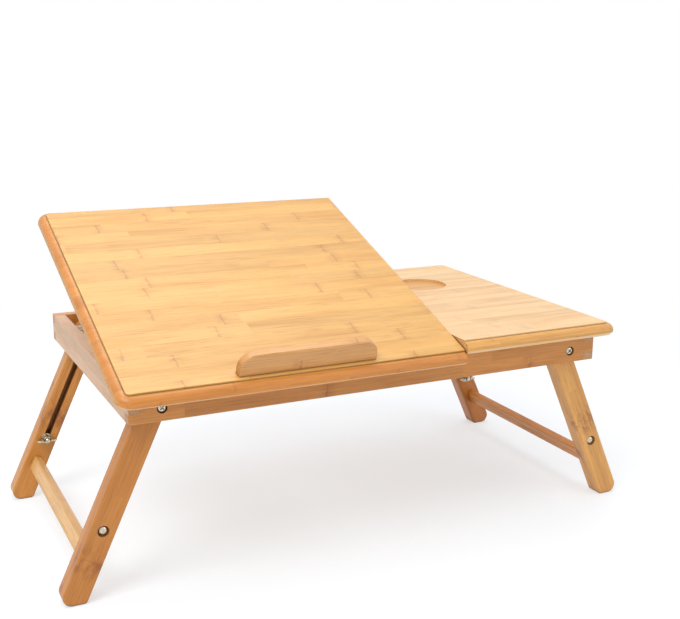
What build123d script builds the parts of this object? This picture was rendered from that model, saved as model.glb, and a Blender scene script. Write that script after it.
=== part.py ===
from build123d import *

import os
from math import acos, cos, degrees, radians, sin, sqrt, tan

# Folding lap desk in bamboo: a tilting panel for a laptop beside a fixed side shelf with a
# drawer under it, on two pairs of folding legs that lengthen.
# X runs to the right, Y to the back, Z up. The origin is on the floor under the middle of the top.
# All sizes are in millimetres.

# ---- top ----
top_length = 554.0
top_depth = 362.0
table_height = 219.0  # upper face of the side shelf above the floor, legs short
top_thickness = 13.5
corner_radius = 16.0
step_inset = 9.0  # the raised field stops this far inside the edge
step_height = 2.0
field_corner_radius = 4.0
nose_radius = 7.5
under_bevel = 3.0
shelf_width = 195.0  # from the right edge to the middle of the split
split_gap = 1.0
cup_radius = 32.5
cup_depth = 3.0
cup_from_back = 105.0
cup_from_right = 101.0

# ---- frame under the top ----
apron_height = 30.0
apron_thickness = 12.0
apron_corner = 1.2
apron_ease = 0.9  # rounding of the aprons' lower outer edges
left_overhang = 13.5
right_overhang = 19.5
front_overhang = 18.0  # and at the back
divider_thickness = 12.0
divider_under_shelf = 7.0  # width of the divider that carries the shelf

# ---- tilting panel, its hinges and its prop ----
hinge_offset = 4.0  # pin axis from the panel's underside, and from the apron's inner face
leaf_thickness = 1.6
leaf_length = 40.0
leaf_width = 18.0
leaf_screw_share = 0.62  # share of the leaf's width from the axis to its row of screws
knuckle_gap = 0.15
hinge_pin_radius = 1.2
hinge_places = (0.25, 0.8)  # share of the panel's length
prop_reach = 131.0  # hinge axis to prop pivot, and prop pivot to prop bar
notch_pitch = 15.0
notch_count = 3
notch_radius = 3.6
prop_bar_radius = 2.5
prop_pin_radius = 2.0
prop_arm_height = 7.0
prop_arm_thickness = 2.5
prop_arm_inset = 18.0  # from the inner side of each notched rack to the arm
prop_bar_end_gap = 0.8
bracket_plate = 1.5
bracket_reach = 14.0
bracket_width = 18.0
bracket_screw_spacing = 10.0
bracket_screw_length = 8.0
rivet_head = 1.4
rivet_head_radius = 3.4
rivet_tail = 1.2
rivet_tail_radius = 2.4
ear_gap = 0.3  # between the arm and the bracket's ear
rack_thickness = 6.5
rack_height = 12.0
rack_end_gap = 1.0  # rack's rear end from the leg's inner layer
rack_screw_drop = 8.6  # screws below the rack's upper edge
rack_screw_length = 13.5
bar_clear = 0.3  # prop bar above the tips of the rack's teeth
panel_clear = 0.6  # front apron's bevel under the panel at full tilt

# ---- ledge that keeps the laptop on the panel ----
ledge_length = 143.0
ledge_height = 22.0
ledge_thickness = 10.0
ledge_corner = 16.0
ledge_from_front = 12.7
ledge_from_left = 187.0  # left edge of the top to the ledge's middle
ledge_dowel_radius = 3.0
ledge_dowel_spacing = 90.0
ledge_dowel_depth = 8.0

# ---- legs ----
splay = 24.5  # degrees from upright
leg_width = 25.0
leg_layer = 10.0  # each leg is two layers of this thickness
layer_gap = 0.2
leg_inset = 7.0  # from the apron's inner face to the leg's outer face
stop_gap = 0.2  # leg's outer edge to the lower inner edge of the side apron
pivot_drop = 17.5  # leg pivot below the underside of the top
leg_edge = 2.0
foot_outer_radius = 9.5
foot_inner_radius = 4.5
clamp_reach = 130.0  # leg pivot to clamp bolt
leg_travel = 98.0
extension_top = 17.0  # leg pivot to the upper end of the inner layer
stretcher_reach = 161.0
stretcher_width = 16.0
stretcher_thickness = 9.0
stretcher_screw_length = 26.0
spacer_radius = 8.0
slot_gap = 0.7  # beside the clamp bolt in the sliding layer's slot

# ---- drawer ----
drawer_width = 200.0
drawer_side_thickness = 8.0
drawer_front_lap = 3.0  # the front is wider than the box by this much at each side
drawer_gap = 1.0
drawer_behind = 5.0  # space between the drawer's back and the divider
drawer_bottom_thickness = 3.0
drawer_bottom_groove = 3.0  # depth of the bottom's groove, and its height above the sides' feet
drawer_lift = 3.0  # underside of the sides above the apron's lower edge
rail_width = 10.0
rail_gap = 1.0
tongue_height = 4.0
tongue_depth = 3.5
tongue_clear = 0.3
knob_radius = 6.5
knob_length = 13.0
knob_screw_radius = 2.0
knob_screw_head = 2.2

# ---- screws, bolts and nuts ----
bolt_radius = 2.5
running_gap = 0.06
fixed_gap = 0.03
pivot_head_radius = 4.2
pivot_head_height = 2.6
pivot_bore_radius = 5.0
pivot_bore_depth = 3.4
carriage_head_radius = 4.9
carriage_head_height = 2.4
carriage_bore_radius = 5.6
carriage_bore_depth = 2.8
washer_thickness = 1.0
washer_radius = 6.0
nut_flats = 8.0
nut_height = 4.0
wing_span = 22.0
wing_height = 10.0
wing_thickness = 1.8
wood_screw_radius = 1.5
wood_screw_head = 2.9
wood_screw_length = 9.0

# ---- places worked out from the sizes above ----
underside = table_height - top_thickness
frame_foot = underside - apron_height
frame_x = (top_length - left_overhang - right_overhang) / 2
frame_y = top_depth / 2 - front_overhang
top_left = -frame_x - left_overhang
top_right = frame_x + right_overhang
inner_x = frame_x - apron_thickness
inner_y = frame_y - apron_thickness
split_x = top_right - shelf_width
panel_right = split_x - split_gap / 2
shelf_left = split_x + split_gap / 2
divider_right = split_x + divider_under_shelf
divider_left = divider_right - divider_thickness

axis_y = -inner_y + hinge_offset
axis_z = underside - hinge_offset
tilt = degrees(acos(1 - notch_pitch / (2 * prop_reach)))
tilt_most = degrees(acos(1 - notch_count * notch_pitch / (2 * prop_reach)))
prop_pivot_y = axis_y + prop_reach
bar_flat_y = axis_y + 2 * prop_reach
rack_top = axis_z - prop_bar_radius - bar_clear

pivot_z = underside - pivot_drop
pivot_x = (
    inner_x
    - stop_gap
    - (pivot_z - frame_foot) * tan(radians(splay))
    - leg_width / 2 / cos(radians(splay))
)
leg_outer_y = inner_y - leg_inset
leg_middle_y = leg_outer_y - leg_layer
extension_outer_y = leg_middle_y - layer_gap
extension_inner_y = extension_outer_y - leg_layer

rail_inner = drawer_width / 2 + rail_gap
rail_outer = rail_inner + rail_width
drawer_front_half = drawer_width / 2 + drawer_front_lap
drawer_back_x = divider_right + drawer_behind
drawer_foot = frame_foot + drawer_lift
drawer_top = underside - drawer_lift
groove_middle = (drawer_foot + drawer_top) / 2 + 2
hole_radius = bolt_radius + running_gap
knob_z = (frame_foot + underside) / 2
lean_x = -sin(radians(splay))  # X and Z of a step down the left leg
lean_z = -cos(radians(splay))


# ---- simple shapes ----
def block(x, y, z):
    """A box between the two limits given on each axis."""
    size = [abs(b - a) for a, b in (x, y, z)]
    middle = [(a + b) / 2 for a, b in (x, y, z)]
    return Pos(*middle) * Box(*size)


def rod_x(x0, x1, y, z, radius):
    return Pos((x0 + x1) / 2, y, z) * Rot(0, 90, 0) * Cylinder(radius, abs(x1 - x0))


def rod_y(x, y0, y1, z, radius):
    return Pos(x, (y0 + y1) / 2, z) * Rot(90, 0, 0) * Cylinder(radius, abs(y1 - y0))


def rod_z(x, y, z0, z1, radius):
    return Pos(x, y, (z0 + z1) / 2) * Cylinder(radius, abs(z1 - z0))


def turn_about_x(part, y, z, angle):
    return Pos(0, y, z) * Rot(angle, 0, 0) * Pos(0, -y, -z) * part


def tilted(part):
    """A piece of the panel, drawn with the panel flat, at the photographed tilt."""
    return turn_about_x(part, axis_y, axis_z, tilt)


def swung(part):
    """A piece of the prop, drawn folded against the flat panel, standing in its notch."""
    return tilted(turn_about_x(part, prop_pivot_y, axis_z, -2 * tilt))


def edges_along(part, axis):
    return part.edges().filter_by(axis)


def wood_screw(at, into, length=wood_screw_length, slack=0.0):
    """A countersunk screw with its head's flat at one point; slack makes the hole for it."""
    head = wood_screw_head + slack
    shank = wood_screw_radius + slack
    cone_height = wood_screw_head - wood_screw_radius
    cone = Pos(0, 0, -cone_height / 2) * Cone(shank, head, cone_height)
    body = cone + Pos(0, 0, -(length + slack) / 2) * Cylinder(shank, length + slack)
    if slack:
        body += Pos(0, 0, slack) * Cylinder(head, 2 * slack)
    else:
        body -= Box(wood_screw_head * 1.1, 0.6, 1.2)
        body -= Box(0.6, wood_screw_head * 1.1, 1.2)
    return Plane(origin=at, z_dir=tuple(-c for c in into)) * body


def screw_holes(places, into, length=wood_screw_length):
    return [wood_screw(at, into, length, fixed_gap) for at in places]


def hexagon_nut(height):
    flat_to_corner = nut_flats / sqrt(3)
    body = extrude(RegularPolygon(flat_to_corner, 6), height)
    dome = Pos(0, 0, height / 2) * Cone(flat_to_corner * 1.35, flat_to_corner * 0.9, height)
    return (body & dome) - Cylinder(bolt_radius, 4 * height)


# ---- the top ----
def whole_top():
    """The full rectangle of the top with its step and nose, before it is split."""
    base_height = top_thickness - step_height
    base = extrude(RectangleRounded(top_length, top_depth, corner_radius), base_height)
    base = fillet(base.edges().group_by(Axis.Z)[-1], nose_radius)
    base = chamfer(base.edges().group_by(Axis.Z)[0], under_bevel)
    field = RectangleRounded(
        top_length - 2 * step_inset, top_depth - 2 * step_inset, field_corner_radius
    )
    raised = extrude(field, top_thickness)
    raised = fillet(raised.edges().group_by(Axis.Z)[-1], step_height / 3)
    return Pos((top_left + top_right) / 2, 0, underside) * (base + raised)


def fixed_top(top):
    shelf = top & block((shelf_left, top_length), (-top_depth, top_depth), (0, 2 * table_height))
    cup_y = top_depth / 2 - cup_from_back
    recess = rod_z(
        top_right - cup_from_right, cup_y, table_height - cup_depth, table_height + 5, cup_radius
    )
    return shelf - fillet(recess.edges().group_by(Axis.Z)[0], 1.5)


def ledge_middle():
    return top_left + ledge_from_left


def ledge_dowel_places():
    middle = ledge_middle()
    return [middle - ledge_dowel_spacing / 2, middle + ledge_dowel_spacing / 2]


def ledge_front():
    return ledge_from_front - top_depth / 2


def tilt_top(top):
    panel = top & block((-top_length, panel_right), (-top_depth, top_depth), (0, 2 * table_height))
    for x in ledge_dowel_places():
        y = ledge_front() + ledge_thickness / 2
        panel -= rod_z(x, y, table_height - ledge_dowel_depth - 1, table_height + 1,
                       ledge_dowel_radius + 0.1)
    for hole in screw_holes(panel_leaf_screws(), (0, 0, 1)):
        panel -= hole
    for hole in screw_holes(bracket_screws(), (0, 0, 1), bracket_screw_length):
        panel -= hole
    return panel


# ---- frame ----
def fingers(side, end):
    """What of a side apron shows as end grain on the long apron's face: its middle third at
    the left, its other two thirds at the right."""
    low = frame_foot + apron_height / 3
    high = low + apron_height / 3
    spans = [(low, high)] if side < 0 else [(frame_foot, low), (high, underside)]
    x = (side * inner_x, side * frame_x)
    y = (end * inner_y, end * frame_y)
    return [block(x, y, span) for span in spans]


def eased_frame():
    """The frame's outer block, its corners and lower edges rounded."""
    outer = block((-frame_x, frame_x), (-frame_y, frame_y), (frame_foot, underside))
    outer = fillet(edges_along(outer, Axis.Z), apron_corner)
    return fillet(outer.edges().group_by(Axis.Z)[0], apron_ease)


def panel_sweep():
    """The space that the panel's front takes as it dips at full tilt."""
    flat = block(
        (-top_length, shelf_left - split_gap / 4),
        (-top_depth, axis_y + 4 * hinge_offset),
        (underside - panel_clear, underside + 4 * apron_height),
    )
    return turn_about_x(flat, axis_y, axis_z, tilt_most)


def long_apron(end):
    """The front apron where end is -1, the rear apron where it is 1."""
    part = block((-frame_x, frame_x), (end * inner_y, end * frame_y), (frame_foot, underside))
    for side in (-1, 1):
        for piece in fingers(side, end):
            part -= piece
        x = side * pivot_x
        part -= rod_y(x, end * (inner_y - 1), end * (frame_y + 1), pivot_z, hole_radius)
        bore_floor = frame_y - pivot_bore_depth
        part -= rod_y(x, end * bore_floor, end * (frame_y + 1), pivot_z, pivot_bore_radius)
    if end < 0:
        part -= panel_sweep()
        for hole in screw_holes(frame_leaf_screws(), (0, -1, 0)):
            part -= hole
    return part & eased_frame()


def left_apron():
    part = block((-frame_x, -inner_x), (-inner_y, inner_y), (frame_foot, underside))
    for end in (-1, 1):
        for piece in fingers(-1, end):
            part += piece
    for hole in screw_holes(rack_screws(-inner_x, 1), (-1, 0, 0), rack_screw_length):
        part -= hole
    return (part - panel_sweep()) & eased_frame()


def right_apron(end):
    """One of the two short aprons beside the drawer's front."""
    start = drawer_front_half + drawer_gap
    part = block((inner_x, frame_x), (end * start, end * inner_y), (frame_foot, underside))
    for piece in fingers(1, end):
        part += piece
    return part & eased_frame()


def divider():
    part = block((divider_left, divider_right), (-rail_outer, rail_outer), (frame_foot, underside))
    for hole in screw_holes(rack_screws(divider_left, -1), (1, 0, 0), rack_screw_length):
        part -= hole
    return part


def rack_limits(side):
    """Front and rear end of a notched rack; the right one stops with the divider."""
    front = bar_flat_y - notch_count * notch_pitch - notch_pitch
    rear = extension_inner_y - rack_end_gap
    return front, rear if side > 0 else min(rear, rail_outer)


def rack_screws(face, side):
    """Where a rack's screw heads lie; side points from the wood to the rack."""
    front, rear = rack_limits(side)
    z = rack_top - rack_screw_drop
    x = face + side * rack_thickness
    return [(x, front + notch_pitch / 2, z), (x, bar_flat_y - notch_pitch / 2, z)]


def rack(face, side):
    front, rear = rack_limits(side)
    x = (face, face + side * rack_thickness)
    part = block(x, (front, rear), (rack_top - rack_height, rack_top))
    for step in range(1, notch_count + 1):
        y = bar_flat_y - step * notch_pitch
        part -= rod_x(x[0] - side, x[1] + side, y, rack_top - 1, notch_radius)
        part -= block(
            (x[0] - side, x[1] + side), (y - notch_radius, y + notch_radius),
            (rack_top - 1, rack_top + 1),
        )
    for hole in screw_holes(rack_screws(face, side), (-side, 0, 0), rack_screw_length):
        part -= hole
    return part


def drawer_rail(end):
    """A rail along one side of the drawer, with the tongue that the drawer's side runs on."""
    x = (divider_right, inner_x)
    part = block(x, (end * rail_inner, end * rail_outer), (drawer_foot + 4, underside))
    tongue_y = (end * rail_inner, end * (rail_inner - tongue_depth - rail_gap))
    tongue_z = (groove_middle - tongue_height / 2, groove_middle + tongue_height / 2)
    return part + block(x, tongue_y, tongue_z)


# ---- hinges of the panel ----
def hinge_middles():
    length = panel_right - top_left
    return [top_left + share * length for share in hinge_places]


def leaf_screw_offsets():
    return [-leaf_length / 3, 0, leaf_length / 3]


def frame_leaf_screws():
    y = -inner_y + leaf_thickness
    z = axis_z - leaf_width * leaf_screw_share
    return [(x + dx, y, z) for x in hinge_middles() for dx in leaf_screw_offsets()]


def panel_leaf_screws():
    y = axis_y + leaf_width * leaf_screw_share
    z = underside - leaf_thickness
    return [(x + dx, y, z) for x in hinge_middles() for dx in leaf_screw_offsets()]


def knuckle(x0, x1):
    return rod_x(x0, x1, axis_y, axis_z, hinge_offset - leaf_thickness)


def knuckle_stations(middle):
    """The limits of a hinge's three knuckles: outer, inner, outer."""
    third = leaf_length / 3
    start = middle - leaf_length / 2
    return [
        (start + n * third + knuckle_gap, start + (n + 1) * third - knuckle_gap) for n in range(3)
    ]


def frame_leaf(middle):
    plate = block(
        (middle - leaf_length / 2, middle + leaf_length / 2),
        (-inner_y, -inner_y + leaf_thickness), (axis_z - leaf_width, axis_z - 3),
    )
    for n in (0, 2):
        x0, x1 = knuckle_stations(middle)[n]
        plate += block((x0, x1), (-inner_y, -inner_y + leaf_thickness), (axis_z - 4, axis_z))
        plate += block((x0, x1), (-inner_y, axis_y), (axis_z - 1, axis_z))
        plate += knuckle(x0, x1)
    for hole in screw_holes(frame_leaf_screws(), (0, -1, 0)):
        plate -= hole
    return plate - rod_x(-top_length, top_length, axis_y, axis_z, hinge_pin_radius)


def panel_leaf(middle):
    plate = block(
        (middle - leaf_length / 2, middle + leaf_length / 2),
        (axis_y + 3, axis_y + leaf_width), (underside - leaf_thickness, underside),
    )
    x0, x1 = knuckle_stations(middle)[1]
    plate += block((x0, x1), (axis_y, axis_y + 4), (underside - leaf_thickness, underside))
    plate += block((x0, x1), (axis_y, axis_y + 1), (axis_z, underside))
    plate += knuckle(x0, x1)
    for hole in screw_holes(panel_leaf_screws(), (0, 0, 1)):
        plate -= hole
    bore = hinge_pin_radius + running_gap
    return tilted(plate - rod_x(-top_length, top_length, axis_y, axis_z, bore))


def hinge_pin(middle):
    half = leaf_length / 2 + 0.4
    return rod_x(middle - half, middle + half, axis_y, axis_z, hinge_pin_radius)


# ---- prop ----
def prop_arm_places():
    """Inner face of each arm, and the side (-1 left, 1 right) that the arm lies on."""
    left = -inner_x + rack_thickness + prop_arm_inset
    right = divider_left - rack_thickness - prop_arm_inset
    return [(left, -1), (right, 1)]


def bracket_screws():
    """Two screws hold each prop bracket, beside its ear."""
    places = []
    for x, side in prop_arm_places():
        middle = x - side * (bracket_plate + bracket_reach * 0.55)
        for end in (-1, 1):
            y = prop_pivot_y + end * bracket_screw_spacing / 2
            places.append((middle, y, underside - bracket_plate))
    return places


def prop_bracket(x, side):
    ear_outer = x - side * ear_gap
    ear_inner = ear_outer - side * bracket_plate
    part = block(
        (ear_outer, ear_outer - side * bracket_reach),
        (prop_pivot_y - bracket_width / 2, prop_pivot_y + bracket_width / 2),
        (underside - bracket_plate, underside),
    )
    ear_y = (prop_pivot_y - hinge_offset, prop_pivot_y + hinge_offset)
    part += block((ear_outer, ear_inner), ear_y, (axis_z, underside))
    part += rod_x(ear_outer, ear_inner, prop_pivot_y, axis_z, hinge_offset)
    part -= rod_x(ear_outer + side, ear_inner - side, prop_pivot_y, axis_z, prop_pin_radius)
    for hole in screw_holes(bracket_screws(), (0, 0, 1), bracket_screw_length):
        part -= hole
    return tilted(part)


def prop_pin(x, side):
    """A rivet through the bracket's ear and the arm, with a head beyond each."""
    arm_outer = x + side * prop_arm_thickness
    ear_inner = x - side * (ear_gap + bracket_plate)
    head_end = arm_outer + side * rivet_head
    tail_end = ear_inner - side * rivet_tail
    shaft = rod_x(head_end, tail_end, prop_pivot_y, axis_z, prop_pin_radius)
    head_start = arm_outer + side * 0.2
    head = rod_x(head_start, head_end, prop_pivot_y, axis_z, rivet_head_radius)
    tail = rod_x(ear_inner, tail_end, prop_pivot_y, axis_z, rivet_tail_radius)
    return tilted(shaft + head + tail)


def prop_arm(x, side):
    half = prop_arm_height / 2
    span = (x, x + side * prop_arm_thickness)
    part = block(span, (prop_pivot_y, bar_flat_y), (axis_z - half, axis_z + half))
    for y in (prop_pivot_y, bar_flat_y):
        part += rod_x(*span, y, axis_z, half)
    through = (x - side, x + side * (prop_arm_thickness + 1))
    part -= rod_x(*through, prop_pivot_y, axis_z, prop_pin_radius + running_gap)
    part -= rod_x(*through, bar_flat_y, axis_z, prop_bar_radius)
    return swung(part)


def prop_bar():
    start = -inner_x + prop_bar_end_gap
    part = rod_x(start, divider_left - prop_bar_end_gap, bar_flat_y, axis_z, prop_bar_radius)
    return swung(chamfer(part.edges().filter_by(GeomType.CIRCLE), 0.5))


# ---- ledge ----
def ledge():
    middle = ledge_middle()
    y0 = ledge_front()
    part = block(
        (middle - ledge_length / 2, middle + ledge_length / 2),
        (y0, y0 + ledge_thickness), (table_height, table_height + ledge_height),
    )
    part = fillet(edges_along(part, Axis.Y).group_by(Axis.Z)[-1], ledge_corner)
    rims = part.edges().filter_by(lambda e: e.center().Z > table_height + 1)
    rims = rims.filter_by(lambda e: abs(e.tangent_at(0.5).Y) < 0.9)
    part = fillet(rims, 1.6)
    for x in ledge_dowel_places():
        y = y0 + ledge_thickness / 2
        part -= rod_z(x, y, table_height - 1, table_height + ledge_dowel_depth,
                      ledge_dowel_radius)
    return tilted(part)


def ledge_dowels():
    y = ledge_front() + ledge_thickness / 2
    low = table_height - ledge_dowel_depth
    high = table_height + ledge_dowel_depth
    rods = [rod_z(x, y, low, high, ledge_dowel_radius) for x in ledge_dowel_places()]
    return [tilted(chamfer(rod.edges().group_by(Axis.Z)[0], 0.8)) for rod in rods]


# ---- legs, drawn as the left pair; the right pair is their mirror image ----
def down_leg(reach, across=0.0):
    """X and Z of a point on the left leg, from the pivot down the leg and out across it."""
    return (
        -pivot_x + reach * lean_x + across * lean_z,
        pivot_z + reach * lean_z - across * lean_x,
    )


def leg_outline(top_reach, head_radius):
    """The leg's shape from the side: standing flat on the floor, with a rounded foot."""
    half = leg_width / 2
    corners = []
    for across in (-half, half):
        upper = down_leg(top_reach, across)
        reach = (pivot_z - across * lean_x) / -lean_z
        corners.append((upper, (down_leg(reach, across)[0], 0.0)))
    (inner_top, inner_foot), (outer_top, outer_foot) = corners
    outline = make_face(Polyline(inner_top, inner_foot, outer_foot, outer_top, close=True))
    for spot, radius in ((outer_foot, foot_outer_radius), (inner_foot, foot_inner_radius)):
        nearest = outline.vertices().sort_by_distance(Vector(*spot, 0))[:1]
        outline = fillet(nearest, radius)
    if head_radius:
        outline += Pos(-pivot_x, pivot_z) * Circle(head_radius)
    return outline


def upright(outline, y0, y1):
    """An outline in X and Z given a thickness from y0 to y1."""
    return Pos(0, max(y0, y1), 0) * Rot(90, 0, 0) * extrude(outline, abs(y1 - y0))


def rounded_rim(part, y, radius):
    """The rim of one flat side rounded over."""
    rim = part.edges().filter_by(lambda e: abs(e.center().Y - y) < 0.01)
    rim = rim.filter_by(lambda e: abs(e.tangent_at(0.5).Y) < 0.01)
    return fillet(rim, radius)


def leg(end):
    """The outer layer of one leg, from its pivot to the floor."""
    face = end * leg_outer_y
    part = upright(leg_outline(0.0, leg_width / 2), face, end * leg_middle_y)
    part = rounded_rim(part, face, leg_edge)
    part -= rod_y(-pivot_x, end * frame_y, 0, pivot_z, hole_radius)
    x, z = down_leg(clamp_reach)
    part -= rod_y(x, end * frame_y, 0, z, bolt_radius + fixed_gap)
    bore_floor = leg_outer_y - carriage_bore_depth
    return part - rod_y(x, end * bore_floor, end * frame_y, z, carriage_bore_radius)


def slot_cutter(end):
    """The long hole that slides past the clamp bolt."""
    half = bolt_radius + slot_gap
    x0, z0 = down_leg(clamp_reach)
    x1, z1 = down_leg(clamp_reach - leg_travel)
    sides = [down_leg(clamp_reach, -half), down_leg(clamp_reach, half),
             down_leg(clamp_reach - leg_travel, half), down_leg(clamp_reach - leg_travel, -half)]
    outline = make_face(Polyline(*sides, close=True))
    outline += Pos(x0, z0) * Circle(half)
    outline += Pos(x1, z1) * Circle(half)
    return upright(outline, end * frame_y, end * extension_inner_y * 0.8)


def stretcher_screw_places(end):
    """One screw through each inner layer into the stretcher's end."""
    x, z = down_leg(stretcher_reach)
    return [(x, end * extension_outer_y, z)]


def extension(end):
    """The inner layer of one leg, which slides down to lengthen it."""
    face = end * extension_inner_y
    part = upright(leg_outline(extension_top, 0.0), end * extension_outer_y, face)
    part = rounded_rim(part, face, leg_edge)
    part -= slot_cutter(end)
    for hole in screw_holes(stretcher_screw_places(end), (0, -end, 0), stretcher_screw_length):
        part -= hole
    return part


def stretcher():
    bar = Box(stretcher_thickness, 2 * extension_inner_y, stretcher_width)
    bar = fillet(edges_along(bar, Axis.Y), 1.5)
    x, z = down_leg(stretcher_reach)
    bar = Pos(x, 0, z) * Rot(0, splay, 0) * bar
    for end in (-1, 1):
        for hole in screw_holes(stretcher_screw_places(end), (0, -end, 0), stretcher_screw_length):
            bar -= hole
    return bar


def carriage_bolt(end):
    """A domed bolt whose head sits in the leg's outer face."""
    x, z = down_leg(clamp_reach)
    floor = leg_outer_y - carriage_bore_depth
    tip = extension_inner_y - washer_thickness - wing_height * 0.95
    dome_radius = (carriage_head_radius**2 + carriage_head_height**2) / (2 * carriage_head_height)
    ball = Pos(0, 0, carriage_head_height - dome_radius) * Sphere(dome_radius)
    head = ball & Pos(0, 0, carriage_head_height) * Cylinder(
        carriage_head_radius + 1, 2 * carriage_head_height
    )
    shaft_length = floor - tip
    shaft = Pos(0, 0, -shaft_length / 2) * Cylinder(bolt_radius, shaft_length)
    shaft = chamfer(shaft.edges().group_by(Axis.Z)[0], 0.5)
    return Plane(origin=(x, end * floor, z), z_dir=(0, end, 0)) * (head + shaft)


def clamp_washer(end):
    x, z = down_leg(clamp_reach)
    y0 = end * extension_inner_y
    y1 = end * (extension_inner_y - washer_thickness)
    return rod_y(x, y0, y1, z, washer_radius) - rod_y(x, y0 * 2, 0, z, bolt_radius + fixed_gap)


def wing_nut(end):
    """A nut with two ears, turned by hand to clamp the leg's two layers. At rest the front
    ones' ears lie along the leg and the rear ones' lie level."""
    x, z = down_leg(clamp_reach)
    boss_height = wing_height * 0.6
    boss = Pos(0, 0, boss_height / 2) * Cone(4.7, 3.9, boss_height)
    ear_radius = wing_height * 0.4
    ear_x = wing_span / 2 - ear_radius
    ears = Sketch()
    for side in (-1, 1):
        ear = make_face(Polyline(
            (side * 2.6, wing_height * 0.12), (side * 4.6, wing_height * 0.12),
            (side * (ear_x + ear_radius * 0.75), wing_height - 1.6 * ear_radius),
            (side * (ear_x - ear_radius * 0.7), wing_height - ear_radius * 0.5),
            (side * 2.6, boss_height), close=True,
        ))
        ears += ear + Pos(side * ear_x, wing_height - ear_radius) * Circle(ear_radius)
    plate = Pos(0, wing_thickness / 2, 0) * Rot(90, 0, 0) * extrude(ears, wing_thickness)
    nut = boss + plate - Cylinder(hole_radius, 4 * wing_height)
    seat = end * (extension_inner_y - washer_thickness)
    along = (lean_x, 0, lean_z) if end < 0 else (1, 0, 0)
    return Plane(origin=(x, seat, z), x_dir=along, z_dir=(0, -end, 0)) * nut


def pivot_spacer(side, end):
    y0, y1 = end * inner_y, end * leg_outer_y
    ring = rod_y(side * pivot_x, y0, y1, pivot_z, spacer_radius)
    return ring - rod_y(side * pivot_x, y0 * 1.1, 0, pivot_z, hole_radius)


def pivot_screw(side, end):
    """A cross-recess machine screw from the apron's face through the spacer and the leg."""
    floor = frame_y - pivot_bore_depth
    tip = leg_middle_y - nut_height - 2.2
    head = Pos(0, 0, pivot_head_height / 2) * Cylinder(pivot_head_radius, pivot_head_height)
    head = fillet(head.edges().group_by(Axis.Z)[-1], pivot_head_height * 0.6)
    length = floor - tip
    shaft = Pos(0, 0, -length / 2) * Cylinder(bolt_radius, length)
    screw = head + chamfer(shaft.edges().group_by(Axis.Z)[0], 0.5)
    for angle in (45, 135):
        screw -= Pos(0, 0, pivot_head_height) * Rot(0, 0, angle) * Box(4.6, 1.0, 2.6)
    return Plane(origin=(side * pivot_x, end * floor, pivot_z), z_dir=(0, end, 0)) * screw


def pivot_nut(side, end):
    seat = leg_middle_y - 0.2
    nut = hexagon_nut(nut_height)
    return Plane(origin=(side * pivot_x, end * seat, pivot_z), z_dir=(0, -end, 0)) * nut


# ---- drawer ----
def drawer_groove_z():
    half = tongue_height / 2 + tongue_clear
    return (groove_middle - half, groove_middle + half)


def bottom_z():
    low = drawer_foot + drawer_bottom_groove
    return (low, low + drawer_bottom_thickness)


def drawer_side(end):
    outer = drawer_width / 2
    inner = outer - drawer_side_thickness
    part = block((drawer_back_x, inner_x), (end * inner, end * outer), (drawer_foot, drawer_top))
    depth = tongue_depth + rail_gap - tongue_clear
    part -= block((0, top_length), (end * (outer - depth), end * (outer + 1)), drawer_groove_z())
    groove_y = (end * inner, end * (inner + drawer_bottom_groove))
    return part - block((0, top_length), groove_y, bottom_z())


def drawer_back():
    inner = drawer_width / 2 - drawer_side_thickness
    x = (drawer_back_x, drawer_back_x + drawer_side_thickness)
    part = block(x, (-inner, inner), (drawer_foot, drawer_top))
    return part - block((x[1] - drawer_bottom_groove, x[1] + 1), (-inner, inner), bottom_z())


def drawer_bottom():
    """A thin panel in the grooves of the two sides and of the back."""
    inner = drawer_width / 2 - drawer_side_thickness
    grooved = inner + drawer_bottom_groove
    back_face = drawer_back_x + drawer_side_thickness
    part = block((back_face, inner_x), (-grooved, grooved), bottom_z())
    return part + block((back_face - drawer_bottom_groove, back_face), (-inner, inner), bottom_z())


def drawer_front():
    part = block(
        (inner_x, frame_x), (-drawer_front_half, drawer_front_half),
        (frame_foot + drawer_gap, underside - drawer_gap),
    )
    part = fillet(part.edges().filter_by(lambda e: abs(e.center().X - frame_x) < 0.01), 1.5)
    return part - rod_x(inner_x - 1, frame_x + 1, 0, knob_z, knob_screw_radius)


def drawer_knob():
    stem = rod_x(frame_x, frame_x + knob_length * 0.5, 0, knob_z, knob_radius * 0.6)
    head = rod_x(frame_x + knob_length * 0.35, frame_x + knob_length, 0, knob_z, knob_radius)
    head = fillet(head.edges().filter_by(GeomType.CIRCLE), knob_length * 0.28)
    hole_end = frame_x + knob_length * 0.7
    return stem + head - rod_x(frame_x - 1, hole_end, 0, knob_z, knob_screw_radius)


def knob_screw():
    """A screw from inside the drawer, with a cross recess in its head."""
    shaft = rod_x(inner_x, frame_x + knob_length * 0.65, 0, knob_z, knob_screw_radius)
    head_face = inner_x - knob_screw_head
    head = rod_x(head_face, inner_x, 0, knob_z, 1.9 * knob_screw_radius)
    head -= Pos(head_face, 0, knob_z) * Box(2.0, 5.0, 1.0)
    head -= Pos(head_face, 0, knob_z) * Box(2.0, 1.0, 5.0)
    return shaft + head


# ---- assembly ----
sides = {"left": -1, "right": 1}
ends = {"front": -1, "rear": 1}


def on_side(part, side):
    """A piece drawn on the left, or its mirror image on the right."""
    return part if side < 0 else mirror(part, about=Plane.YZ)


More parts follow.
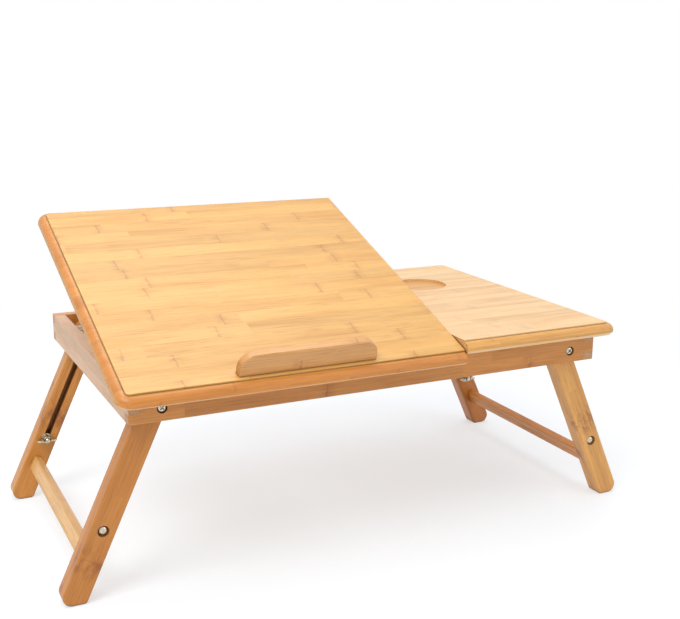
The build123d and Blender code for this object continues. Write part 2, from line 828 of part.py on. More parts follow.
def build_all():
    top = whole_top()
    nodes = {
        "fixed_top": [fixed_top(top)],
        "tilt_top": [tilted(tilt_top(top))],
        "front_apron": [long_apron(-1)],
        "rear_apron": [long_apron(1)],
        "left_apron": [left_apron()],
        "right_front_apron": [right_apron(-1)],
        "right_rear_apron": [right_apron(1)],
        "divider": [divider()],
        "left_rack": [rack(-inner_x, 1)],
        "right_rack": [rack(divider_left, -1)],
        "front_drawer_rail": [drawer_rail(-1)],
        "rear_drawer_rail": [drawer_rail(1)],
        "frame_hinge_leaves": [frame_leaf(x) for x in hinge_middles()],
        "panel_hinge_leaves": [panel_leaf(x) for x in hinge_middles()],
        "hinge_pins": [hinge_pin(x) for x in hinge_middles()],
        "frame_hinge_screws": [wood_screw(at, (0, -1, 0)) for at in frame_leaf_screws()],
        "panel_hinge_screws": [tilted(wood_screw(at, (0, 0, 1))) for at in panel_leaf_screws()],
        "rack_screws": [
            wood_screw(at, (-side, 0, 0), rack_screw_length)
            for face, side in ((-inner_x, 1), (divider_left, -1))
            for at in rack_screws(face, side)
        ],
        "prop_brackets": [prop_bracket(x, side) for x, side in prop_arm_places()],
        "bracket_screws": [
            tilted(wood_screw(at, (0, 0, 1), bracket_screw_length)) for at in bracket_screws()
        ],
        "prop_pins": [prop_pin(x, side) for x, side in prop_arm_places()],
        "prop_left_arm": [prop_arm(*prop_arm_places()[0])],
        "prop_right_arm": [prop_arm(*prop_arm_places()[1])],
        "prop_bar": [prop_bar()],
        "ledge": [ledge()],
        "ledge_dowels": ledge_dowels(),
        "drawer_front": [drawer_front()],
        "drawer_front_side": [drawer_side(-1)],
        "drawer_rear_side": [drawer_side(1)],
        "drawer_back": [drawer_back()],
        "drawer_bottom": [drawer_bottom()],
        "drawer_knob": [drawer_knob()],
        "knob_screw": [knob_screw()],
    }
    corners = [(side, end) for side in sides.values() for end in ends.values()]
    nodes["leg_pivot_screws"] = [pivot_screw(side, end) for side, end in corners]
    nodes["leg_pivot_spacers"] = [pivot_spacer(side, end) for side, end in corners]
    nodes["leg_pivot_nuts"] = [pivot_nut(side, end) for side, end in corners]
    for side_name, side in sides.items():
        for end_name, end in ends.items():
            nodes[f"{side_name}_{end_name}_leg"] = [on_side(leg(end), side)]
            nodes[f"{side_name}_{end_name}_extension"] = [on_side(extension(end), side)]
            nodes[f"{side_name}_{end_name}_wing_nut"] = [on_side(wing_nut(end), side)]
        pair = ends.values()
        nodes[f"{side_name}_clamp_bolts"] = [on_side(carriage_bolt(end), side) for end in pair]
        nodes[f"{side_name}_clamp_washers"] = [on_side(clamp_washer(end), side) for end in pair]
        nodes[f"{side_name}_stretcher"] = [on_side(stretcher(), side)]
        nodes[f"{side_name}_stretcher_screws"] = [
            on_side(wood_screw(at, (0, -end, 0), stretcher_screw_length), side)
            for end in pair
            for at in stretcher_screw_places(end)
        ]
    return nodes


def save(name, parts):
    solids = [solid for part in parts for solid in part.solids()]
    export_step(Compound(label=name, children=solids), f"parts/{name}.step")


os.makedirs("parts", exist_ok=True)
for node_name, pieces in build_all().items():
    save(node_name, pieces)
print(f"leg pivots at x {pivot_x:.3f}, z {pivot_z:.3f}; tilt {tilt:.3f} of {tilt_most:.3f} degrees")
print(f"tilt axis y {axis_y:.3f}, z {axis_z:.3f}; prop pivot flat at y {prop_pivot_y:.3f}")
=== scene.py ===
import math

import bmesh
import bpy
from mathutils import Matrix, Vector

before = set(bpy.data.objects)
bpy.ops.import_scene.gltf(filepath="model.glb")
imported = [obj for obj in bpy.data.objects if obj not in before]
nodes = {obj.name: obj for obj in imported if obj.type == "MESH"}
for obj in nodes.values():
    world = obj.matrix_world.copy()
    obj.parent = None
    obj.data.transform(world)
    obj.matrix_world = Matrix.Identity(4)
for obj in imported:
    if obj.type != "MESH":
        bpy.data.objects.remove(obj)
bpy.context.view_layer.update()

scene = bpy.context.scene


# sRGB hex to the linear colour that the shaders work in
def hexToLinear(hexColour, alpha=1.0):
    levels = [int(hexColour[i:i + 2], 16) / 255 for i in (1, 3, 5)]
    return [c / 12.92 if c <= 0.04045 else ((c + 0.055) / 1.055) ** 2.4 for c in levels] + [alpha]


# adds one shader node: settings are its properties, inputs its sockets by name, by number, or by
# several numbers with a value for each
# Mix takes its share at 0 and its colours at 6 and 7
# MapRange takes its value at 0, what that runs between at 1 and 2, and what comes out at 3 and 4
def addNode(tree, kind, inputs=None, **settings):
    made = tree.nodes.new("ShaderNode" + kind)
    for key, value in settings.items():
        setattr(made, key, value)
    for socket, value in (inputs or {}).items():
        if isinstance(value, bpy.types.NodeSocket):
            tree.links.new(value, made.inputs[socket])
        elif isinstance(socket, tuple):
            for number, part in zip(socket, value):
                made.inputs[number].default_value = part
        else:
            made.inputs[socket].default_value = value
    return made


def newMaterial(name):
    material = bpy.data.materials.new(name)
    material.use_nodes = True
    material.node_tree.nodes.clear()
    return material, material.node_tree


toMillimetres = (1000, 1000, 1000)  # object coordinates are in metres


# noise drawn out along X, with streaks of the given length and width in mm
def addStreaks(tree, place, size, placing, noise):
    length, width = size
    stretched = addNode(tree, "Mapping", {"Vector": place.outputs[0],
                                          "Scale": (1 / length, 1 / width, 1 / width), **placing})
    return addNode(tree, "TexNoise", {"Vector": stretched.outputs[0], "Scale": 1.0, **noise})


# relief over rounded edges, then the surface that a material ends in
def endMaterial(tree, look, height, eased, surface):
    bump = addNode(tree, "Bump", {"Height": height.outputs[0], "Strength": look["relief"],
                                  "Distance": look["reliefDepth"], "Normal": eased.outputs[0]})
    shader = addNode(tree, "BsdfPrincipled", {"Normal": bump.outputs[0], **surface})
    addNode(tree, "OutputMaterial", {"Surface": shader.outputs[0]})


# camera
cameraLook = {
    "position": (-0.4868, -1.0466, 0.5022),
    "yaw": -26.062,  # degrees, looks to the right of +Y
    "pitch": -13.628,
    "roll": 0.52,
    "lens": 56.0,
    "shiftX": 0.00526,
    "shiftY": -0.00163,
    "near": 0.01,  # metres
}


def makeCamera(look):
    yaw, pitch, roll = (math.radians(look[k]) for k in ("yaw", "pitch", "roll"))
    ahead = Vector((-math.sin(yaw) * math.cos(pitch), math.cos(yaw) * math.cos(pitch), math.sin(pitch)))
    right = ahead.cross(Vector((0, 0, 1))).normalized()
    up = right.cross(ahead)
    across = right * math.cos(roll) + up * math.sin(roll)
    upward = up * math.cos(roll) - right * math.sin(roll)
    camera = bpy.data.objects.new("camera", bpy.data.cameras.new("camera"))
    camera.matrix_world = Matrix((across, upward, -ahead)).transposed().to_4x4()
    camera.location = look["position"]
    camera.data.sensor_fit = "HORIZONTAL"
    camera.data.lens = look["lens"]
    camera.data.shift_x = look["shiftX"]
    camera.data.shift_y = look["shiftY"]
    camera.data.clip_start = look["near"]
    scene.collection.objects.link(camera)
    scene.camera = camera


makeCamera(cameraLook)
scene.view_settings.view_transform = "Standard"
print("camera at the photo's viewpoint")


# light
lampLook = {
    "key": {"at": (-1.1, -0.7, 1.7), "size": 1.1, "power": 22.0, "colour": "#FFFDF8"},
    "fill": {"at": (1.3, -1.3, 1.0), "size": 1.4, "power": 7.0, "colour": "#F8FAFF"},
    "top": {"at": (0.1, 0.5, 1.9), "size": 1.6, "power": 14.0, "colour": "#FFFFFF"},
}
lampAim = (0, 0, 0.12)  # metres, about the middle of the desk
roomLook = {"ambient": "#F4F5F7", "strength": 0.55, "plain": "#FFFFFF"}


def makeLamps(looks):
    for name, look in looks.items():
        lamp = bpy.data.objects.new(name, bpy.data.lights.new(name, "AREA"))
        lamp.data.shape = "DISK"
        lamp.data.size = look["size"]
        lamp.data.energy = look["power"]
        lamp.data.color = hexToLinear(look["colour"])[:3]
        lamp.location = look["at"]
        aim = Vector(lampAim) - Vector(look["at"])
        lamp.rotation_euler = aim.to_track_quat("-Z", "Y").to_euler()
        scene.collection.objects.link(lamp)


# 1 for what the camera sees straight, through glass or mirrored, 0 for what only lights the scene
def seenDirectly(tree):
    path = addNode(tree, "LightPath")
    seen = path.outputs["Is Camera Ray"]
    for ray in ("Is Transmission Ray", "Is Glossy Ray"):
        seen = addNode(tree, "Math", {0: seen, 1: path.outputs[ray]}, operation="MAXIMUM").outputs[0]
    return seen


# soft white room; the camera, gloss and glass see plain white
def makeRoom(look):
    world = bpy.data.worlds.new("studio")
    world.use_nodes = True
    tree = world.node_tree
    tree.nodes.clear()
    seen = seenDirectly(tree)
    ambient = addNode(tree, "Background", {"Color": hexToLinear(look["ambient"]),
                                           "Strength": look["strength"]})
    plain = addNode(tree, "Background", {"Color": hexToLinear(look["plain"]), "Strength": 1.0})
    mix = addNode(tree, "MixShader", {0: seen, 1: ambient.outputs[0], 2: plain.outputs[0]})
    addNode(tree, "OutputWorld", {"Surface": mix.outputs[0]})
    scene.world = world


makeLamps(lampLook)
makeRoom(roomLook)
print("lamps and room set")


# floor
floorLook = {
    "radius": 3.0,
    "segments": 96,
    "paper": "#F2F2F1",  # what the lamps see, so that light bounces up
    "seen": "#AEB3B9",  # what the camera adds to the lift below
    "lift": 0.575,
    "plain": "#FFFFFF",
    "fade": (0.55, 1.1),  # metres from the middle where the floor starts to go plain white, and is
}


def makeFloor(look):
    mesh = bpy.data.meshes.new("studioFloor")
    shape = bmesh.new()
    bmesh.ops.create_circle(shape, cap_ends=True, segments=look["segments"], radius=look["radius"])
    shape.to_mesh(mesh)
    shape.free()
    floor = bpy.data.objects.new("studioFloor", mesh)
    scene.collection.objects.link(floor)
    material, tree = newMaterial("paperMattSeamless")  # matt paper roll: no gloss, soft shadow
    seen = seenDirectly(tree)
    colour = addNode(tree, "Mix", {0: seen, 6: hexToLinear(look["paper"]), 7: hexToLinear(look["seen"])},
                     data_type="RGBA")
    paper = addNode(tree, "BsdfDiffuse", {"Color": colour.outputs[2]})
    lift = addNode(tree, "Math", {0: seen, 1: look["lift"]}, operation="MULTIPLY")
    glow = addNode(tree, "Emission", {"Color": hexToLinear(look["plain"]), "Strength": lift.outputs[0]})
    lit = addNode(tree, "AddShader", {0: paper.outputs[0], 1: glow.outputs[0]})
    place = addNode(tree, "TexCoord")
    distance = addNode(tree, "VectorMath", {0: place.outputs["Object"]}, operation="LENGTH")
    fade = addNode(tree, "MapRange", {0: distance.outputs["Value"], (1, 2): look["fade"]},
                   interpolation_type="SMOOTHSTEP")
    fade = addNode(tree, "Math", {0: fade.outputs[0], 1: seen}, operation="MULTIPLY")
    plain = addNode(tree, "Emission", {"Color": hexToLinear(look["plain"]), "Strength": 1.0})
    mix = addNode(tree, "MixShader", {0: fade.outputs[0], 1: lit.outputs[0], 2: plain.outputs[0]})
    addNode(tree, "OutputMaterial", {"Surface": mix.outputs[0]})
    mesh.materials.append(material)


makeFloor(floorLook)
print("floor laid")


# bamboo
# Carbonised bamboo, pressed in strips, planed, sanded and dipped in thin lacquer: long straight
# fibres, a darker knuckle line every 20 to 30 cm in each strip, dots of bundles on end grain.
# Fibres and dots are drawn about twice as coarse as real ones, which are too fine to show.
# A span is the two values between which something comes in.
bambooLook = {
    "turn": (0, 0, 0),  # degrees that bring the grain to X and the strips' width to Y
    "shift": (0, 0, 0),  # mm, after the turn
    "strip": 19.0,  # mm, width of a strip across Y
    "ply": 4.5,  # mm, thickness of a layer across Z
    "board": 380.0,  # mm, length of a strip before the next one is butted on
    "seed": 3.7,
    "jump": (90, 90, 90),  # how far the noise moves from strip to strip
    "tone": 0.16,  # spread of brightness from strip to strip
    "pale": "#E7B673",
    "body": "#D79F5A",
    "brown": "#A9692E",
    "fibre": (70, 1.3),  # mm, length and width of a streak
    "fibreSpan": (0.30, 0.72),
    "bundle": (26, 0.8),  # mm, the same of the short dark fibre bundles
    "bundleSpan": (0.54, 0.70),
    "dashes": 0.38,  # how strongly those bundles show
    "cloud": (150, 22),  # mm, the same of broad brown clouds
    "cloudSpan": (0.45, 0.80),
    "cloudShare": 0.42,
    "knuckleEvery": 240.0,  # mm
    "knuckleAt": 0.0,  # mm along the grain
    "knuckleSpread": 1.0,  # 1 gives each strip its own place, 0 lines them up
    "wobble": 5.0,  # mm that the knuckle line wanders
    "ripple": (14, 7),  # mm, length and width of its waves and of the blotches
    "line": 0.3,  # how strongly the thin knuckle line shows
    "lineSpan": (0.3, 1.7),  # mm off its middle where it starts to fade and is gone
    "stain": 0.5,  # how strongly the brown blotches beside it show
    "stainSpan": (0.36, 0.62),
    "stainColour": "#8E4A1B",
    "fan": 12.0,  # mm that the blotches reach from the line
    "seam": 0.45,  # mm from a strip's edge where its glue line starts
    "seamShare": 0.35,
    "core": -1000.0,  # below this depth in mm lies the middle layer
    "coreBlur": 0.2,  # mm
    "coreTint": "#F0D9B4",  # multiplies what is there
    "bottom": -1000.0,  # below this depth in mm the colour goes pale: a painted reflection of the bright floor on the underside
    "bottomBlur": 0.25,  # mm
    "paintedFloorReflection": "#F4D7A8",
    "paintedFloorReflectionShare": 0.62,
    "end": "#9A6230",
    "endSpan": (0.80, 0.95),  # 1 is a face square to the grain
    "dot": 1.4,  # mm from one bundle to the next on end grain
    "dotSpan": (0.15, 0.62),
    "dotShare": (0.85, 0.15),  # of the end colour, in a dot's middle and between dots
    # paler colour on rounded edges: thinner lacquer, and a painted highlight
    "edge": "#F3CF98",
    "edgeRadius": 0.0009,  # metres
    "edgeSpan": (0.985, 0.85),  # 1 is flat
    "edgeShare": 0.45,
    "crevice": 0.003,  # metres that the painted shade reaches out of inner corners
    "paintedShade": (0.5, 0.85),  # openness at which it is full, and gone
    "paintedShadeShare": 0.6,
    "paintedShadeColour": "#4A230B",
    "relief": 0.10,
    "reliefDepth": 0.0006,  # metres
    "dashRise": -0.6,  # against 1 for the fibres
    "lineRise": 0.8,
    "seamRise": -2.0,
    "roughness": (0.34, 0.52),
    "roughnessSpan": (0.3, 0.75),
    "ior": 1.5,
    "coat": 0.18,
    "coatRoughness": 0.22,
}


def makeBamboo(name, look):
    look = dict(bambooLook, **look)
    material, tree = newMaterial(name)
    brown = hexToLinear(look["brown"])
    place = addNode(tree, "TexCoord")
    turn = [math.radians(a) for a in look["turn"]]
    grain = addNode(tree, "Mapping", {"Vector": place.outputs["Object"], "Location": look["shift"],
                                      "Rotation": turn, "Scale": toMillimetres})
    axes = addNode(tree, "SeparateXYZ", {0: grain.outputs[0]})
    along, across, deep = axes.outputs

    # which strip and layer a point is in, and that strip's own random numbers
    strip = addNode(tree, "Math", {0: across, 1: look["strip"]}, operation="DIVIDE")
    layer = addNode(tree, "Math", {0: deep, 1: look["ply"]}, operation="DIVIDE")
    stripNumber = addNode(tree, "Math", {0: strip.outputs[0]}, operation="FLOOR")
    layerNumber = addNode(tree, "Math", {0: layer.outputs[0]}, operation="FLOOR")
    cell = addNode(tree, "CombineXYZ", {0: stripNumber.outputs[0], 1: layerNumber.outputs[0],
                                        2: look["seed"]})
    dice = addNode(tree, "TexWhiteNoise", {"Vector": cell.outputs[0]}, noise_dimensions="3D")
    draws = addNode(tree, "SeparateXYZ", {0: dice.outputs["Color"]})
    board = addNode(tree, "Math", {0: along, 1: 1 / look["board"], 2: draws.outputs[0]},
                    operation="MULTIPLY_ADD")
    boardNumber = addNode(tree, "Math", {0: board.outputs[0]}, operation="FLOOR")
    piece = addNode(tree, "CombineXYZ", {0: stripNumber.outputs[0], 1: layerNumber.outputs[0],
                                         2: boardNumber.outputs[0]})
    pieceDice = addNode(tree, "TexWhiteNoise", {"Vector": piece.outputs[0]}, noise_dimensions="3D")
    jump = addNode(tree, "VectorMath", {0: pieceDice.outputs["Color"], 1: look["jump"]},
                   operation="MULTIPLY")

    # fine fibres, short dark bundles among them, and broad clouds
    jumped = {"Location": jump.outputs[0]}
    fibre = addStreaks(tree, grain, look["fibre"], jumped,
                       {"Detail": 4.0, "Roughness": 0.62, "Distortion": 0.25})
    bundle = addStreaks(tree, grain, look["bundle"], jumped, {"Detail": 2.0, "Roughness": 0.5})
    dashes = addNode(tree, "MapRange", {0: bundle.outputs[0], (1, 2): look["bundleSpan"]},
                     interpolation_type="SMOOTHSTEP")
    cloud = addStreaks(tree, grain, look["cloud"], jumped, {"Detail": 2.0})

    # knuckles: a thin dark line across the strip with stained blotches beside it
    knuckleShift = addNode(tree, "Math", {0: draws.outputs[1],
                                          1: look["knuckleEvery"] * look["knuckleSpread"],
                                          2: look["knuckleAt"]}, operation="MULTIPLY_ADD")
    fromKnuckle = addNode(tree, "Math", {0: along, 1: knuckleShift.outputs[0]}, operation="SUBTRACT")
    wobble = addStreaks(tree, grain, look["ripple"], {}, {"Detail": 3.0})
    fromKnuckle = addNode(tree, "Math", {0: wobble.outputs[0], 1: look["wobble"],
                                         2: fromKnuckle.outputs[0]}, operation="MULTIPLY_ADD")
    folded = addNode(tree, "Math", {0: fromKnuckle.outputs[0], 1: look["knuckleEvery"] / 2},
                     operation="PINGPONG")
    line = addNode(tree, "MapRange", {0: folded.outputs[0], (1, 2): look["lineSpan"], (3, 4): (1.0, 0.0)},
                   interpolation_type="SMOOTHSTEP")
    patch = addNode(tree, "MapRange", {0: folded.outputs[0], (1, 2): (0.0, look["fan"]),
                                       (3, 4): (1.0, 0.0)}, interpolation_type="SMOOTHSTEP")
    blotch = addNode(tree, "MapRange", {0: wobble.outputs[0], (1, 2): look["stainSpan"]},
                     interpolation_type="SMOOTHSTEP")
    stain = addNode(tree, "Math", {0: patch.outputs[0], 1: blotch.outputs[0]}, operation="MULTIPLY")
    stain = addNode(tree, "Math", {0: stain.outputs[0], 1: look["stain"]}, operation="MULTIPLY")
    mark = addNode(tree, "Math", {0: line.outputs[0], 1: look["line"], 2: stain.outputs[0]},
                   operation="MULTIPLY_ADD", use_clamp=True)

    # colour along the sides
    fibreShare = addNode(tree, "MapRange", {0: fibre.outputs[0], (1, 2): look["fibreSpan"]})
    colour = addNode(tree, "Mix", {0: fibreShare.outputs[0], 6: hexToLinear(look["pale"]),
                                   7: hexToLinear(look["body"])}, data_type="RGBA")
    cloudShare = addNode(tree, "MapRange", {0: cloud.outputs[0], (1, 2): look["cloudSpan"],
                                            4: look["cloudShare"]})
    dashShare = addNode(tree, "Math", {0: dashes.outputs[0], 1: look["dashes"]}, operation="MULTIPLY")
    for share, paint in ((cloudShare, brown), (dashShare, brown), (mark, hexToLinear(look["stainColour"]))):
        colour = addNode(tree, "Mix", {0: share.outputs[0], 6: colour.outputs[2], 7: paint},
                         data_type="RGBA")
    brightness = addNode(tree, "MapRange", {0: pieceDice.outputs["Value"],
                                            (3, 4): (1 - look["tone"], 1 + look["tone"])})
    colour = addNode(tree, "HueSaturation", {"Value": brightness.outputs[0], "Color": colour.outputs[2]})

    # glue line between strips, a hair darker
    seam = addNode(tree, "Math", {0: strip.outputs[0]}, operation="FRACT")
    seam = addNode(tree, "Math", {0: seam.outputs[0], 1: 0.5}, operation="SUBTRACT")
    seam = addNode(tree, "Math", {0: seam.outputs[0]}, operation="ABSOLUTE")
    seam = addNode(tree, "MapRange", {0: seam.outputs[0], 1: 0.5 - look["seam"] / look["strip"], 2: 0.5,
                                      4: look["seamShare"]}, interpolation_type="SMOOTHSTEP")
    colour = addNode(tree, "Mix", {0: seam.outputs[0], 6: colour.outputs[0], 7: brown}, data_type="RGBA")

    # the middle layer, more golden, and below it a pale band: a painted reflection of the bright floor along
    # the underside
    inCore = addNode(tree, "MapRange", {0: deep, 1: look["core"] - look["coreBlur"],
                                        2: look["core"] + look["coreBlur"], (3, 4): (1.0, 0.0)},
                     interpolation_type="SMOOTHSTEP")
    colour = addNode(tree, "Mix", {0: inCore.outputs[0], 6: colour.outputs[2],
                                   7: hexToLinear(look["coreTint"])}, data_type="RGBA", blend_type="MULTIPLY")
    inPaintedReflection = addNode(tree, "MapRange", {0: deep, 1: look["bottom"] - look["bottomBlur"],
                                          2: look["bottom"] + look["bottomBlur"],
                                          (3, 4): (look["paintedFloorReflectionShare"], 0.0)},
                       interpolation_type="SMOOTHSTEP")
    colour = addNode(tree, "Mix", {0: inPaintedReflection.outputs[0], 6: colour.outputs[2],
                                   7: hexToLinear(look["paintedFloorReflection"])}, data_type="RGBA")

    # end grain: packed dots of fibre bundles
    facing = addNode(tree, "Mapping", {"Vector": place.outputs["Normal"], "Rotation": turn},
                     vector_type="VECTOR")
    facing = addNode(tree, "SeparateXYZ", {0: facing.outputs[0]})
    facing = addNode(tree, "Math", {0: facing.outputs[0]}, operation="ABSOLUTE")
    onEnd = addNode(tree, "MapRange", {0: facing.outputs[0], (1, 2): look["endSpan"]},
                    interpolation_type="SMOOTHSTEP")
    dotPlace = addNode(tree, "Mapping", {"Vector": grain.outputs[0],
                                         "Scale": (0, 1 / look["dot"], 1 / look["dot"])})
    dots = addNode(tree, "TexVoronoi", {"Vector": dotPlace.outputs[0], "Scale": 1.0})
    dotShare = addNode(tree, "MapRange", {0: dots.outputs["Distance"], (1, 2): look["dotSpan"],
                                          (3, 4): look["dotShare"]})
    endColour = addNode(tree, "Mix", {0: dotShare.outputs[0], 6: hexToLinear(look["body"]),
                                      7: hexToLinear(look["end"])}, data_type="RGBA")
    colour = addNode(tree, "Mix", {0: onEnd.outputs[0], 6: colour.outputs[2], 7: endColour.outputs[2]},
                     data_type="RGBA")

    # handled edges: the lacquer is thinner and the wood paler there; the paler band also serves as a painted
    # highlight along the rounded edges
    eased = addNode(tree, "Bevel", {"Radius": look["edgeRadius"]}, samples=4)
    geometry = addNode(tree, "NewGeometry")
    edge = addNode(tree, "VectorMath", {0: eased.outputs[0], 1: geometry.outputs["Normal"]},
                   operation="DOT_PRODUCT")
    edge = addNode(tree, "MapRange", {0: edge.outputs["Value"], (1, 2): look["edgeSpan"],
                                      4: look["edgeShare"]})
    edge = addNode(tree, "Math", {0: edge.outputs[0], 1: fibre.outputs[0]}, operation="MULTIPLY")
    colour = addNode(tree, "Mix", {0: edge.outputs[0], 6: colour.outputs[2],
                                   7: hexToLinear(look["edge"])}, data_type="RGBA")

    # painted shade: inner corners darkened as if shaded, by how closed in they are
    openness = addNode(tree, "AmbientOcclusion", {"Distance": look["crevice"]}, samples=6)
    paintedShade = addNode(tree, "MapRange", {0: openness.outputs["AO"], (1, 2): look["paintedShade"],
                                       (3, 4): (look["paintedShadeShare"], 0.0)})
    colour = addNode(tree, "Mix", {0: paintedShade.outputs[0], 6: colour.outputs[2],
                                   7: hexToLinear(look["paintedShadeColour"])}, data_type="RGBA")

    # relief and gloss
    height = fibre
    for feature, rise in ((dashes, "dashRise"), (line, "lineRise"), (seam, "seamRise")):
        height = addNode(tree, "Math", {0: feature.outputs[0], 1: look[rise], 2: height.outputs[0]},
                         operation="MULTIPLY_ADD")
    roughness = addNode(tree, "MapRange", {0: cloud.outputs[0], (1, 2): look["roughnessSpan"],
                                           (3, 4): look["roughness"]})
    endMaterial(tree, look, height, eased, {
        "Base Color": colour.outputs[2], "Roughness": roughness.outputs[0], "IOR": look["ior"],
        "Coat Weight": look["coat"], "Coat Roughness": look["coatRoughness"],
    })
    return material


# nylon
# Injection-moulded nylon, unpainted: milky, faintly waxy, fine spark-eroded grain, drawn coarser
# than the real one so that it shows.
nylonLook = {
    "pale": "#F1EFE9",
    "shade": "#DEDACF",
    "flow": 14,  # mm, size of the milky clouds
    "grain": 0.35,  # mm
    "edgeRadius": 0.0004,  # metres
    "relief": 0.15,
    "reliefDepth": 0.0001,  # metres
    "roughness": (0.38, 0.52),
    "roughnessSpan": (0.3, 0.7),
    "ior": 1.53,
}


def makeNylon(name, look):
    material, tree = newMaterial(name)
    place = addNode(tree, "TexCoord")
    millimetres = addNode(tree, "Mapping", {"Vector": place.outputs["Object"], "Scale": toMillimetres})
    flow = addNode(tree, "TexNoise", {"Vector": millimetres.outputs[0], "Scale": 1 / look["flow"],
                                      "Detail": 2.0})
    grain = addNode(tree, "TexNoise", {"Vector": millimetres.outputs[0], "Scale": 1 / look["grain"],
                                       "Detail": 2.0})
    colour = addNode(tree, "Mix", {0: flow.outputs[0], 6: hexToLinear(look["pale"]),
                                   7: hexToLinear(look["shade"])}, data_type="RGBA")
    roughness = addNode(tree, "MapRange", {0: flow.outputs[0], (1, 2): look["roughnessSpan"],
                                           (3, 4): look["roughness"]})
    eased = addNode(tree, "Bevel", {"Radius": look["edgeRadius"]}, samples=4)
    endMaterial(tree, look, grain, eased, {
        "Base Color": colour.outputs[2], "Roughness": roughness.outputs[0], "IOR": look["ior"],
    })
    return material


# plated steel
# Steel in a thin bright plate: cold mirror-like glints, hairline rub marks, painted shade in the recesses.
steelLook = {
    "dullSpan": (0.35, 0.72),
    "rub": (6, 0.25),  # mm, length and width of a rub mark, wider than real hairlines to show
    "rubTurn": (0.4, 0.2, 0.7),  # radians, so that the marks follow no edge
    "crevice": 0.0012,  # metres that the painted shade reaches out of recesses
    "recessShade": (0.45, 0.85),  # openness at which it is full, and gone
    "recessShadeShare": 0.9,
    "recessShadeColour": "#1E1A14",
    "edgeRadius": 0.0003,  # metres
    "relief": 0.12,
    "reliefDepth": 0.00008,  # metres
    "roughnessSpan": (0.3, 0.7),
}


def makePlatedSteel(name, look):
    look = dict(steelLook, **look)
    material, tree = newMaterial(name)
    place = addNode(tree, "TexCoord")
    millimetres = addNode(tree, "Mapping", {"Vector": place.outputs["Object"], "Scale": toMillimetres})
    patches = addNode(tree, "TexNoise", {"Vector": millimetres.outputs[0], "Scale": 1 / look["patch"],
                                         "Detail": 3.0})
    rubs = addStreaks(tree, millimetres, look["rub"], {"Rotation": look["rubTurn"]}, {"Detail": 3.0})
    share = addNode(tree, "MapRange", {0: patches.outputs[0], (1, 2): look["dullSpan"]})
    colour = addNode(tree, "Mix", {0: share.outputs[0], 6: hexToLinear(look["bright"]),
                                   7: hexToLinear(look["dull"])}, data_type="RGBA")
    # painted shade: recesses such as screw slots are darkened towards near black
    openness = addNode(tree, "AmbientOcclusion", {"Distance": look["crevice"]}, samples=6)
    recessShade = addNode(tree, "MapRange", {0: openness.outputs["AO"], (1, 2): look["recessShade"],
                                      (3, 4): (look["recessShadeShare"], 0.0)})
    colour = addNode(tree, "Mix", {0: recessShade.outputs[0], 6: colour.outputs[2],
                                   7: hexToLinear(look["recessShadeColour"])}, data_type="RGBA")
    roughness = addNode(tree, "MapRange", {0: rubs.outputs[0], (1, 2): look["roughnessSpan"],
                                           (3, 4): look["roughness"]})
    eased = addNode(tree, "Bevel", {"Radius": look["edgeRadius"]}, samples=4)
    endMaterial(tree, look, rubs, eased, {
        "Base Color": colour.outputs[2], "Metallic": 1.0, "Roughness": roughness.outputs[0],
    })
    return material


# finishes, piece by piece
def finishPieces(material, names):
    for name in names:
        mesh = nodes[name].data
        mesh.materials.clear()
        mesh.materials.append(material)


# top: pale, wide flat-pressed strips that run left to right
panelTurn = (-19.482, 0, 0)  # degrees, lays the tilted panel level
panelLook = {"turn": panelTurn, "shift": (40, 6, 1.6), "strip": 20.0, "pale": "#E1AF62", "body": "#D19C4F",
             "brown": "#A8682B", "tone": 0.07, "line": 0.22, "stain": 0.2, "bottom": 248.0, "core": 256.1,
             "coreTint": "#F3CFA8"}
shelfLook = {"shift": (0, 4, 1.2), "strip": 20.0, "pale": "#EBC48D", "body": "#DFB176", "brown": "#B67A3C",
             "tone": 0.06, "line": 0.15, "stain": 0.12, "bottom": 210.1, "core": 218.2, "coreTint": "#EDD49A"}
ledgeLook = {"turn": panelTurn, "shift": (15, 2, 3.1), "strip": 30.0, "ply": 30.0, "pale": "#DCA668",
             "body": "#CB9150", "brown": "#A1652E", "tone": 0.04, "stain": 0.3}
finishPieces(makeBamboo("bambooPanelSandedLacquered", panelLook), ["tilt_top"])
finishPieces(makeBamboo("bambooShelfSandedLacquered", shelfLook), ["fixed_top"])
finishPieces(makeBamboo("bambooLedgeSandedLacquered", ledgeLook), ["ledge"])
print("top finished")

# aprons: darker carbonised strips on edge, grain along each board
sideways = (0, 0, -90)  # degrees, for grain that runs from front to back
apronLook = {"strip": 40.0, "ply": 16.0, "board": 300.0, "pale": "#D18F45", "body": "#BF7C33",
             "brown": "#94521D", "tone": 0.10, "stain": 0.4}
# the side aprons get a paler, pinker colour with fewer marks: painted light and sheen on these faces
sideApronLitLook = dict(apronLook, turn=sideways, shift=(0, 5, 3), pale="#D5AD86", body="#C89B70",
                     brown="#A36E45", tone=0.05, line=0.04, stain=0.1)
innerLook = dict(apronLook, shift=(0, 5, 3), pale="#CF9C62", body="#BB8449")
finishPieces(makeBamboo("bambooLongApronPlaned", dict(apronLook, shift=(30, 5, 3))),
             ["front_apron", "rear_apron"])
finishPieces(makeBamboo("bambooSideApronPlanedPaintedLit", sideApronLitLook),
             ["left_apron", "right_front_apron", "right_rear_apron"])
finishPieces(makeBamboo("bambooDividerPlaned", dict(innerLook, turn=sideways)), ["divider"])
finishPieces(makeBamboo("bambooRailPlaned", innerLook), ["front_drawer_rail", "rear_drawer_rail"])
print("frame finished")
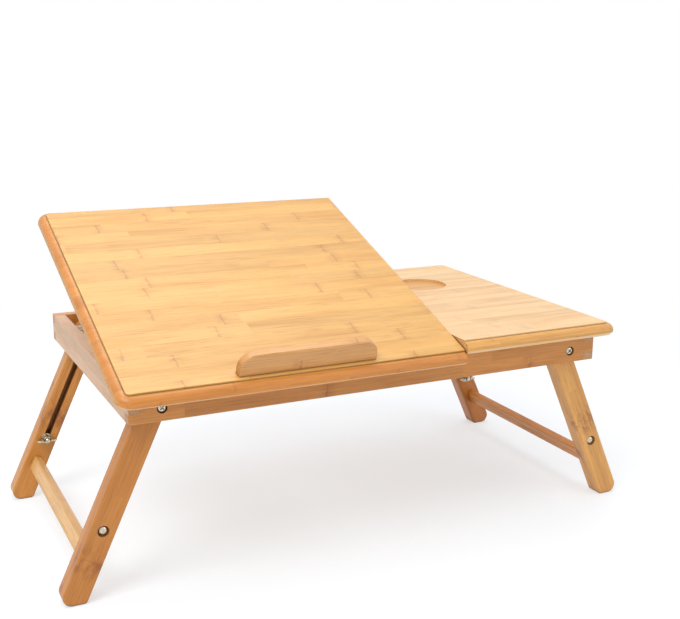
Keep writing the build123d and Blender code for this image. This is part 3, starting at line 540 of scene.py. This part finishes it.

# legs: straight fibres down each layer, one or two knuckles each, painted shade where they cross
legLook = {"strip": 12.0, "ply": 14.0, "board": 900.0, "knuckleSpread": 0.0, "knuckleEvery": 210.0,
           "pale": "#DBA45F", "body": "#C98E4A", "brown": "#9C5F29", "tone": 0.05, "line": 0.15, "stain": 0.7,
           "fan": 24.0, "wobble": 10.0, "crevice": 0.011, "paintedShade": (0.22, 0.6), "paintedShadeShare": 0.85,
           "dashes": 0.55}
legTurn = {"left": (0, 65.5, 0), "right": (0, -65.5, 0)}  # degrees, lays a splayed leg level
knuckleDown = {  # mm below the leg's pivot
    ("left", "front"): 152.0, ("left", "rear"): 60.0, ("right", "front"): 112.0, ("right", "rear"): 80.0,
}
legToneAndShade = {  # each leg comes from its own board; these colours also carry painted light and shade, the rear right leg darkened for shade
    ("left", "front"): ("#C98536", "#BA7328"), ("left", "rear"): ("#D69340", "#C47F31"),
    ("right", "front"): ("#E8AF61", "#D5974C"), ("right", "rear"): ("#CE8338", "#BD712A"),
}
pivotAlong = {"left": 76.2, "right": -76.2}  # mm, where the pivot comes to lie along the turned grain
wobbleMean = 4.5  # mm that the wobble moves the line on average
slidingDown = 37  # mm that the sliding layer's knuckle lies further down
for side in ("left", "right"):
    downward = -1 if side == "left" else 1
    for end in ("front", "rear"):
        at = pivotAlong[side] + downward * knuckleDown[side, end]
        pale, body = legToneAndShade[side, end]
        look = dict(legLook, turn=legTurn[side], knuckleAt=at - wobbleMean, shift=(0, 7, 2),
                    pale=pale, body=body)
        finishPieces(makeBamboo(f"bambooLegSanded-{side}-{end}", look), [f"{side}_{end}_leg"])
        look = dict(look, knuckleAt=at + downward * slidingDown)
        finishPieces(makeBamboo(f"bambooSlidingLegSanded-{side}-{end}", look), [f"{side}_{end}_extension"])
stretcherLook = dict(legLook, turn=sideways, knuckleEvery=260.0, shift=(0, 3, 2), stain=0.12, line=0.05)
for side, pale, body in (("left", "#E9B974", "#D7A45E"), ("right", "#E79E4F", "#D58C40")):
    look = dict(stretcherLook, pale=pale, body=body)
    finishPieces(makeBamboo(f"bambooStretcherSanded-{side}", look), [f"{side}_stretcher"])
print("legs finished")

# drawer: plain planed strips, thin pressed bottom, beech pegs under the ledge
drawerLook = dict(apronLook, shift=(0, 5, 3), pale="#DDB077", body="#CC9859")
bottomLook = dict(shelfLook, strip=45.0, ply=1.1, pale="#E2BE8C", body="#D4A970", coat=0.0, bottom=-1000.0)
dowelLook = dict(drawerLook, turn=(0, 90, 0), strip=20.0, ply=20.0, pale="#E3C298", body="#D3AC7C",
                 line=0.0, stain=0.0)
finishPieces(makeBamboo("bambooDrawerFrontPlaned", dict(drawerLook, turn=sideways)),
             ["drawer_front", "drawer_back", "drawer_knob"])
finishPieces(makeBamboo("bambooDrawerSidePlaned", drawerLook), ["drawer_front_side", "drawer_rear_side"])
finishPieces(makeBamboo("bambooPlyPressed", bottomLook), ["drawer_bottom"])
finishPieces(makeBamboo("beechDowelTurned", dowelLook), ["ledge_dowels"])
print("drawer finished")

# hardware: nickel has a warm cast, zinc is greyer and duller
finishPieces(makeNylon("nylonMoulded", nylonLook), ["left_rack", "right_rack", "leg_pivot_spacers"])
nickelLook = {"bright": "#D9D2BF", "dull": "#B5AB92", "roughness": (0.16, 0.34), "patch": 3.0}
zincLook = {"bright": "#CFCFCC", "dull": "#A3A29C", "roughness": (0.26, 0.46), "patch": 5.0}
finishPieces(makePlatedSteel("steelNickelPlated", nickelLook),
             [n for n in nodes if n.endswith(("screws", "screw", "_nut", "_nuts", "bolts", "washers"))])
finishPieces(makePlatedSteel("steelZincPlatedPressed", zincLook),
             ["frame_hinge_leaves", "panel_hinge_leaves", "hinge_pins", "prop_brackets", "prop_pins",
              "prop_left_arm", "prop_right_arm", "prop_bar"])
print("hardware finished")

unfinished = [n for n, o in nodes.items()
              if not o.data.materials or o.data.materials[0].name.startswith("Material")]
print("nodes without a finish:", unfinished)
